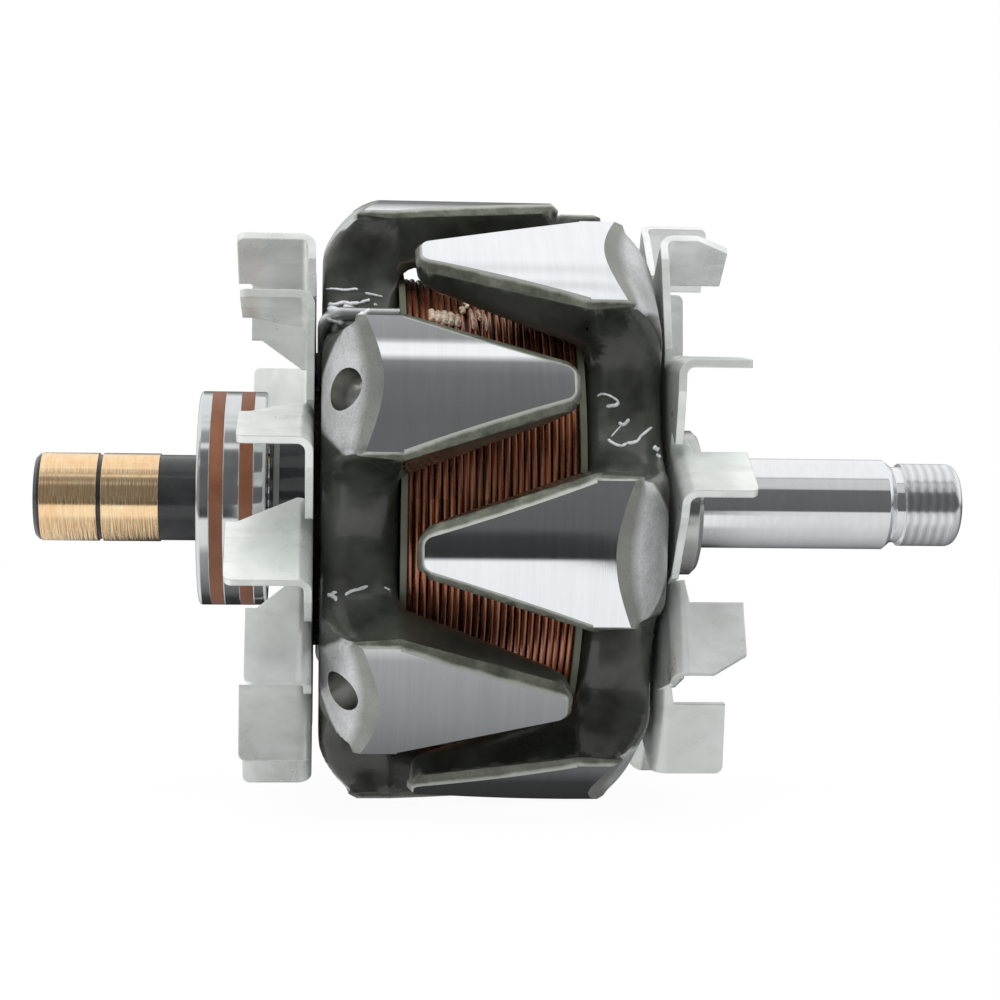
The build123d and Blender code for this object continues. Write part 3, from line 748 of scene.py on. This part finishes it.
def drip_mesh(name, drips, seed):
    """Lumpy rounded threads of varnish that lie half sunk along rows of points."""
    rng = random.Random(seed)
    bm = bmesh.new()
    for half_width, points in drips:
        guides = [2 * points[0] - points[1], *points, 2 * points[-1] - points[-2]]
        curve = []
        for before, start, end, after in zip(guides, guides[1:], guides[2:], guides[3:]):
            for step in range(DRIP_STEPS):
                share = step / DRIP_STEPS
                bend = (end - before) * share * (1 - share) ** 2 + (start - after) * share**2 * (1 - share)
                curve.append(start.lerp(end, share * share * (3 - 2 * share)) + bend / 2)
        curve.append(points[-1])
        rings = []
        for place, spot in enumerate(curve):
            ahead = (curve[min(place + 1, len(curve) - 1)] - curve[max(place - 1, 0)]).normalized()
            outward = Vector((0, spot.y, spot.z)).normalized()
            sideways = ahead.cross(outward).normalized()
            from_end = min(place, len(curve) - 1 - place) / 3
            swell = sin(pi / 2 * min(1, 0.3 + from_end)) * rng.uniform(0.85, 1.15) * half_width * MM
            ring = []
            for corner in range(DRIP_SIDES):
                turn = 2 * pi * corner / DRIP_SIDES
                ring.append(bm.verts.new(spot + (outward * cos(turn) * 0.8 + sideways * sin(turn)) * swell))
            rings.append(ring)
        for first, second in zip(rings, rings[1:]):
            for corner in range(DRIP_SIDES):
                after = (corner + 1) % DRIP_SIDES
                bm.faces.new((first[corner], first[after], second[after], second[corner]))
        bm.faces.new(rings[0])
        bm.faces.new(rings[-1])
    for face in bm.faces:
        face.smooth = True
    bmesh.ops.recalc_face_normals(bm, faces=bm.faces)
    mesh = bpy.data.meshes.new(name)
    bm.to_mesh(mesh)
    bm.free()
    return mesh


def turned_mesh(name, outline, steps):
    """Closed outline of (x, radius) points turned about the shaft axis."""
    bm = bmesh.new()
    rings = []
    for step in range(steps):
        angle = 2 * pi * step / steps
        rings.append([bm.verts.new((x, out * cos(angle), out * sin(angle))) for x, out in outline])
    count = len(outline)
    for first, second in zip(rings, rings[1:] + rings[:1]):
        for corner in range(count):
            after = (corner + 1) % count
            bm.faces.new((first[corner], first[after], second[after], second[corner])).smooth = True
    bmesh.ops.recalc_face_normals(bm, faces=bm.faces)
    mesh = bpy.data.meshes.new(name)
    bm.to_mesh(mesh)
    bm.free()
    return mesh


# Studio


# What polished metal sees, as (climb, tone): 0 is at the camera's height, 90 overhead and 180 behind.
# First what the claws see, then the pulley end of the shaft, then the slip rings.
MIDDLE = (
    (-180, 0.02),
    (-135, 0.04),
    (-122, 0.12),
    (-90, 0.26),
    (-62, 0.36),
    (-50, 0.90),
    (-22.5, 0.95),
    (-21.5, 0.030),
    (-13, 0.045),
    (-10, 0.11),
    (6, 0.13),
    (30, 0.13),
    (47, 0.16),
    (53, 0.24),
    (54, 1.0),
    (59, 1.0),
    (61, 0.30),
    (74, 0.36),
    (80, 0.85),
    (84, 1.0),
    (88, 0.76),
    (92, 1.0),
    (97, 0.84),
    (102, 1.0),
    (142, 1.0),
    (156, 0.25),
    (180, 0.12),
)
SHAFT_SIDE = (
    (-180, 0.02),
    (-90, 0.60),
    (-50, 0.76),
    (-21.5, 0.78),
    (-19.5, 0.13),
    (36, 0.15),
    (37.5, 0.62),
    (66, 0.68),
    (67, 0.34),
    (72, 1.0),
    (151, 1.0),
    (180, 0.15),
)
RING_SIDE = (
    (-180, 0.3),
    (-137, 1.0),
    (-25, 1.0),
    (-18, 0.30),
    (29, 0.28),
    (36, 0.75),
    (43, 0.35),
    (61, 0.55),
    (68.5, 1.0),
    (151, 1.0),
    (180, 0.3),
)


def surroundings(sky, climb, tones):
    stops = [((angle + 180) / 360, tone) for angle, tone in tones]
    return sky.ramp(sky.span(climb, -180, 180), *stops)


def build_world():
    """White to the camera; polished metal sees a bright room with a dark band on the camera's side."""
    world = bpy.data.worlds.new("studio")
    bpy.context.scene.world = world
    world.use_nodes = True
    world.cycles.sampling_method = "NONE"
    sky = Tree(world.node_tree)
    background = world.node_tree.nodes["Background"]
    direction = sky.add("SeparateXYZ", sky.add("TexCoord").outputs["Generated"]).outputs
    back = sky.math("MULTIPLY", direction[1], -1.0)
    climb = sky.math("MULTIPLY", sky.math("ARCTAN2", direction[2], back), 180 / pi)
    past_claws = sky.math("MAXIMUM", sky.math("SUBTRACT", direction[0], 0.12), 0.0)
    room = surroundings(sky, sky.math("MULTIPLY_ADD", past_claws, 210.0, climb), MIDDLE)
    shaft_side = surroundings(sky, climb, SHAFT_SIDE)
    ring_side = surroundings(sky, climb, RING_SIDE)
    room = sky.mix(sky.span(direction[0], 0.17, 0.18), room, shaft_side)
    room = sky.mix(sky.span(direction[0], -0.10, -0.11), room, ring_side)
    soft = sky.ramp(sky.span(direction[2], -1, 1), (0.0, 0.12), (0.5, 0.45), (1.0, 1.0))
    path = sky.add("LightPath").outputs
    lit = sky.mix(path["Is Glossy Ray"], soft, room)
    background.inputs["Strength"].default_value = 1.0
    sky.feed(background.inputs["Color"], sky.mix(path["Is Camera Ray"], lit, 1.0))


def put_floor():
    """Pale table just under the claws, that keeps a faint shadow and isn't seen in polished metal."""
    reach = 1.5
    low = cad_bounds[0][2] - 0.2 * MM
    corners = [(-reach, -reach, low), (reach, -reach, low), (reach, reach, low), (-reach, reach, low)]
    mesh = bpy.data.meshes.new("table_top")
    mesh.from_pydata(corners, [], [(0, 1, 2, 3)])
    floor = bpy.data.objects.new("table_top", mesh)
    bpy.context.scene.collection.objects.link(floor)
    shader = Shader("table_white", Roughness=0.9)
    grain = shader.noise(400, 3.0)
    shader.put(Base_Color=shader.mix(grain, 0.86, 0.9))
    path = shader.add("LightPath").outputs
    glow = shader.add("Emission", (1, 1, 1, 1), 1.01).outputs[0]
    lit = shader.add("MixShader", 0.05, glow, shader.surface.outputs[0]).outputs[0]
    seen = shader.add("MixShader", path["Is Camera Ray"], shader.surface.outputs[0], lit).outputs[0]
    clear = shader.add("BsdfTransparent").outputs[0]
    result = shader.add("MixShader", path["Is Glossy Ray"], seen, clear).outputs[0]
    shader.feed(shader.tree.nodes["Material Output"].inputs["Surface"], result)
    mesh.materials.append(shader.material)


def put_lamp(name, place, size, power):
    """Soft square lamp aimed at the middle of the rotor."""
    data = bpy.data.lights.new(name, "AREA")
    data.size = size
    data.energy = power
    lamp = bpy.data.objects.new(name, data)
    bpy.context.scene.collection.objects.link(lamp)
    lamp.location = place
    lamp.rotation_euler = (-Vector(place)).to_track_quat("-Z", "Y").to_euler()
    lamp.visible_glossy = False


# The scene

put_camera()
build_world()
put_floor()
put_lamp("top_lamp", (-0.1, -0.3, 0.8), 0.5, 4.0)
bpy.context.scene.view_settings.view_transform = "Standard"

core_materials = [
    turned_steel("claw_face_steel", (0.88, 0.90, 0.93), 0.06, 0.7, edge=0),
    rubbed_bevel("claw_bevel"),
    bare_forging("claw_shoulder"),
    varnished_forging("core_varnish"),
    turned_steel("drilled_steel", (0.5, 0.5, 0.48), 0.3, edge=0.2 * MM),
]
forged = {}
for name, side in (("rear_pole_core", -1), ("front_pole_core", 1)):
    forged[side] = forge(name, side)
    piece = new_piece(name + "_forging", forged[side], core_materials, [name])
    evened = piece.modifiers.new("evened", "WEIGHTED_NORMAL")
    evened.keep_sharp = True

wire = enamelled_wire("coil_wire")
winding = wind_coil(seed=7, sides=7, steps=180, wander=0.25 * MM)
new_piece("coil_turns", winding, [wire], ["field_coil"])
# Inner turns as a plain drum painted near black: painted shade in the gaps between the outer turns.
drum = turned_mesh(
    "coil_inner_turns",
    [
        (-COIL_HALF_LENGTH, COIL_BORE),
        (COIL_HALF_LENGTH, COIL_BORE),
        (COIL_HALF_LENGTH, COIL_RADIUS - 1.1 * MM),
        (-COIL_HALF_LENGTH, COIL_RADIUS - 1.1 * MM),
    ],
    steps=72,
)
coil_gap_painted_shade = moulded("coil_gap_painted_shade", (0.02, 0.008, 0.006), 0.4)
new_piece("coil_inner_turns", drum, [coil_gap_painted_shade])

drips = pooled_varnish("varnish_drip", (0.34, 0.35, 0.35), (0.86, 0.88, 0.92), 0.2)
# The pale cream of the coil's pools is a painted reflection of the bright room.
pools = pooled_varnish("coil_varnish_painted_reflection", (0.74, 0.44, 0.26), (1.0, 0.86, 0.68), 0.08)
rear_drips = drip_mesh("rear_drips", seen_drips(REAR_DRIPS, forged[-1]), seed=3)
front_drips = drip_mesh("front_drips", seen_drips(FRONT_DRIPS, forged[1]), seed=5)
new_piece("rear_varnish_drips", rear_drips, [drips])
new_piece("front_varnish_drips", front_drips, [drips])
new_piece("coil_varnish_pools", drip_mesh("coil_pools", pools_on_coil(), seed=8), [pools])

black = moulded("black_moulding", (0.012, 0.013, 0.015), 0.3, gloss=0.4)
band = moulded("band_resin", (0.18, 0.062, 0.024), 0.5)
seal = moulded("seal_rubber", (0.03, 0.028, 0.027), 0.6)
lead = turned_steel("lead_tin", (0.75, 0.76, 0.76), 0.3, 0.0)
copper = slip_ring_copper("slip_ring_copper")
zinc = zinc_sheet("zinc_sheet")
looks = {
    "shaft": turned_steel("shaft_steel", (0.84, 0.86, 0.88), 0.08, 0.6, thread=True),
    "spacer_collar": turned_steel("collar_steel", (0.52, 0.53, 0.52), 0.18, 0.5, edge=0.3 * MM),
    "bobbin": moulded("bobbin_plastic", (0.095, 0.10, 0.07), 0.4, gloss=0.2),
    "slip_ring_moulding": black,
    "lead_insulator": moulded("insulator_plastic", (0.008, 0.009, 0.012), 0.16, gloss=0.8),
    "insulator_band": moulded("grey_rubber", (0.17, 0.18, 0.17), 0.55),
    "slip_ring_bar_outer": copper,
    "slip_ring_bar_inner": copper,
    "inner_slip_ring": copper,
    "outer_slip_ring": copper,
    "coil_lead_outer": lead,
    "coil_lead_inner": lead,
    "rear_fan": zinc,
    "front_fan": zinc,
    "bearing_inner_ring": turned_steel("race_steel", (0.66, 0.67, 0.67), 0.14, 0.3),
    "bearing_outer_ring": turned_steel("outer_race_steel", (0.68, 0.70, 0.71), 0.12, 0.5, edge=0.3 * MM),
    "bearing_balls": turned_steel("ball_steel", (0.8, 0.8, 0.8), 0.06, 0.0),
    "bearing_cage": moulded("cage_plastic", (0.42, 0.28, 0.12), 0.4),
    "bearing_seal_outboard": seal,
    "bearing_seal_inboard": seal,
    "bearing_band_outboard": band,
    "bearing_band_inboard": band,
}
for name, material in looks.items():
    nodes[name].data.materials.clear()
    nodes[name].data.materials.append(material)
